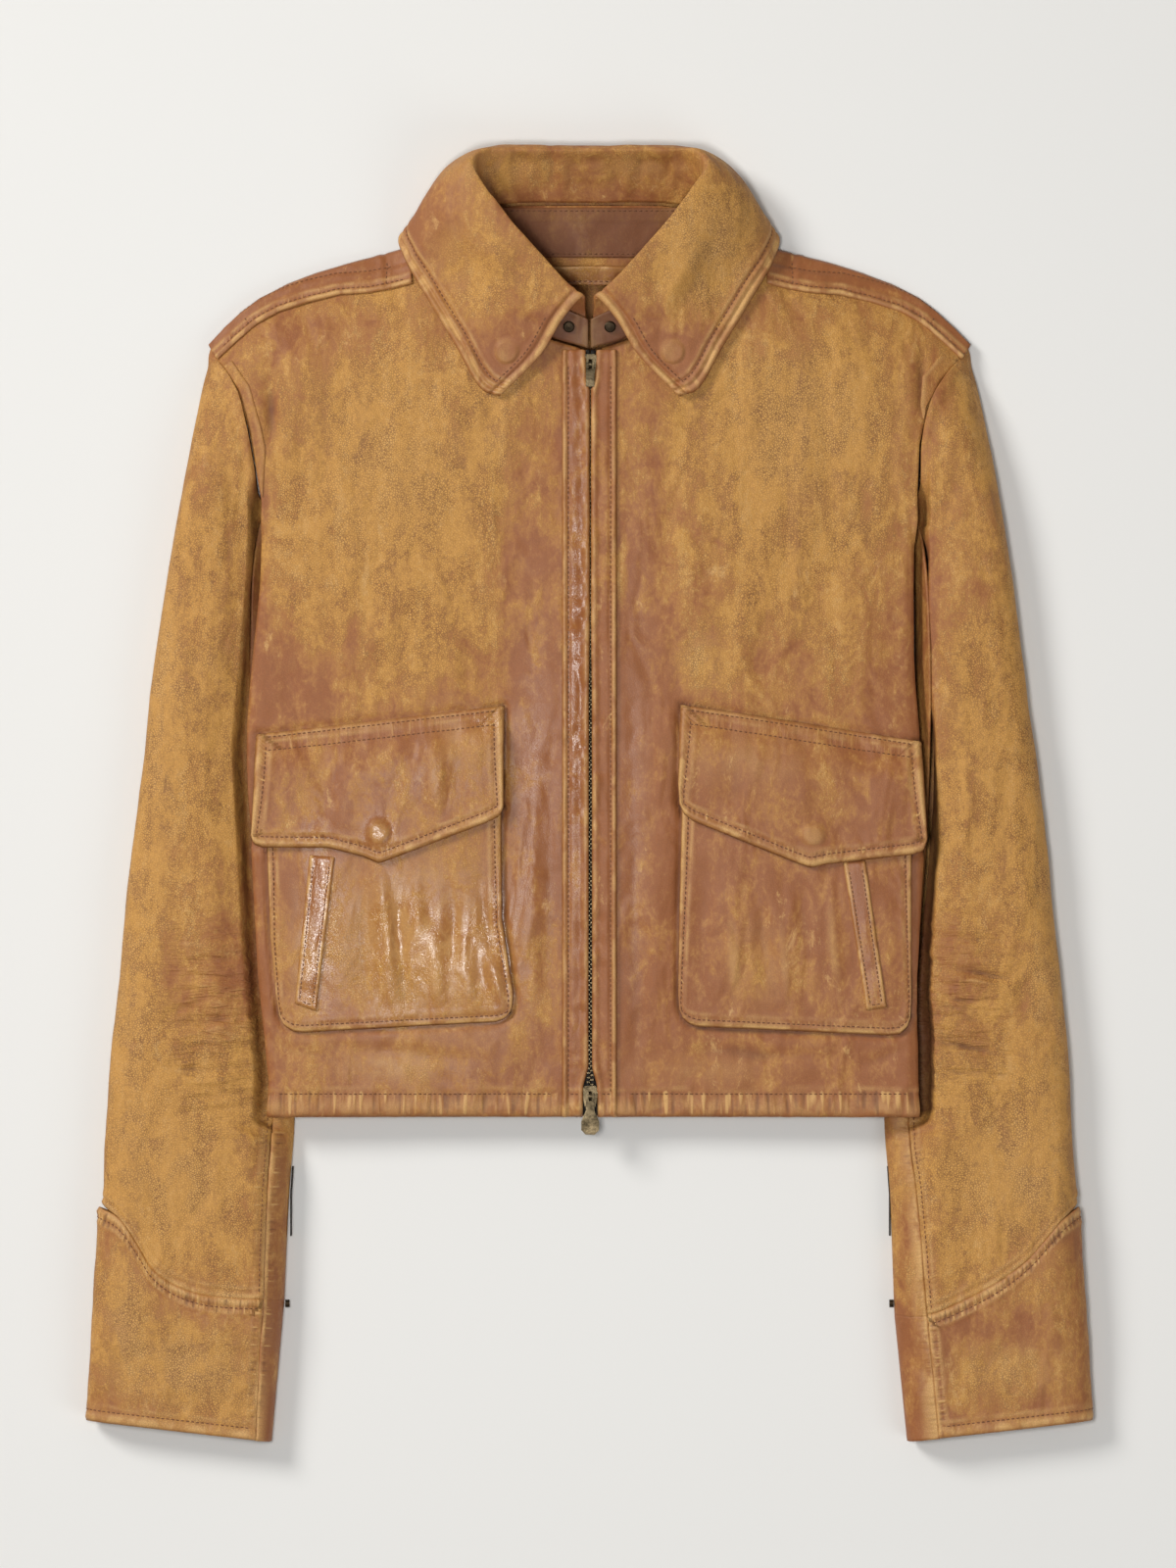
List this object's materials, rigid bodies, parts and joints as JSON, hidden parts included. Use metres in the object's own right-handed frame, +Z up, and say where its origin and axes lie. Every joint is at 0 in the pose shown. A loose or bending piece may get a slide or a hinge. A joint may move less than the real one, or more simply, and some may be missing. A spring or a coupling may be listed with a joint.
{
  "type": "worn leather jacket",
  "caption": "Cropped worn leather zip jacket laid flat on its back, with pointed collar, shoulder straps, flapped chest-width patch pockets and shaped cuffs.",
  "frame": {"origin": "on the surface that the jacket lies on, under the middle of its outline, level with the back's flat underside", "axes": "+Y from the hem to the collar, +X to the viewer's right seen from above, +Z up from the surface through the back to the front"},
  "size_m": [0.567, 0.7288, 0.0423],
  "materials": {
    "tan_leather": "worn golden tan aniline leather, soft sheen",
    "brown_leather": "burnished reddish brown leather, semi-gloss",
    "edge_leather": "rubbed lighter leather at raised edges",
    "inside_leather": "matt dark facing leather",
    "zip_tape": "black woven zip tape",
    "antique_brass": "antique brass, darkened"
  },
  "bodies": {
    "jacket": {"armhole_band_left": "edge_leather", "armhole_band_right": "edge_leather", "back": "tan_leather", "collar": "tan_leather", "collar_snap_left": "edge_leather", "collar_snap_right": "edge_leather", "collar_stand_left": "brown_leather", "collar_stand_right": "brown_leather", "cuff_top_left": "brown_leather", "cuff_top_right": "brown_leather", "cuff_under_left": "brown_leather", "cuff_under_right": "brown_leather", "epaulette_left": "brown_leather", "epaulette_right": "brown_leather", "flap_left": "brown_leather", "flap_right": "brown_leather", "flap_snap_left": "brown_leather", "flap_snap_right": "brown_leather", "front_left": "tan_leather", "front_right": "tan_leather", "hanger_loop": "edge_leather", "neck_facing": "inside_leather", "placket_left": "brown_leather", "placket_right": "brown_leather", "pocket_left": "brown_leather", "pocket_right": "brown_leather", "side_left": "brown_leather", "side_right": "brown_leather", "sleeve_top_left": "tan_leather", "sleeve_top_right": "tan_leather", "sleeve_under_left": "tan_leather", "sleeve_under_right": "tan_leather", "slider_bottom": "antique_brass", "slider_top": "antique_brass", "stand_stud_left": "antique_brass", "stand_stud_right": "antique_brass", "vent_stop_left": "antique_brass", "vent_stop_right": "antique_brass", "vent_tape_left": "zip_tape", "vent_tape_right": "zip_tape", "welt_left": "edge_leather", "welt_right": "edge_leather", "zip_tape_left": "zip_tape", "zip_tape_right": "zip_tape"},
    "top_pull": {"pull_top": "antique_brass"},
    "bottom_pull": {"pull_bottom": "antique_brass"}
  },
  "joints": [
    {"name": "top_pull_swing", "type": "hinge", "parent": "jacket", "child": "top_pull", "pos_m": [0.0004, 0.2405, 0.02836], "axis": [-1, 0, 0], "range_deg": [0, 120]},
    {"name": "bottom_pull_swing", "type": "hinge", "parent": "jacket", "child": "bottom_pull", "pos_m": [0.0004, -0.17, 0.02305], "axis": [-1, 0, 0], "range_deg": [0, 120]}
  ]
}
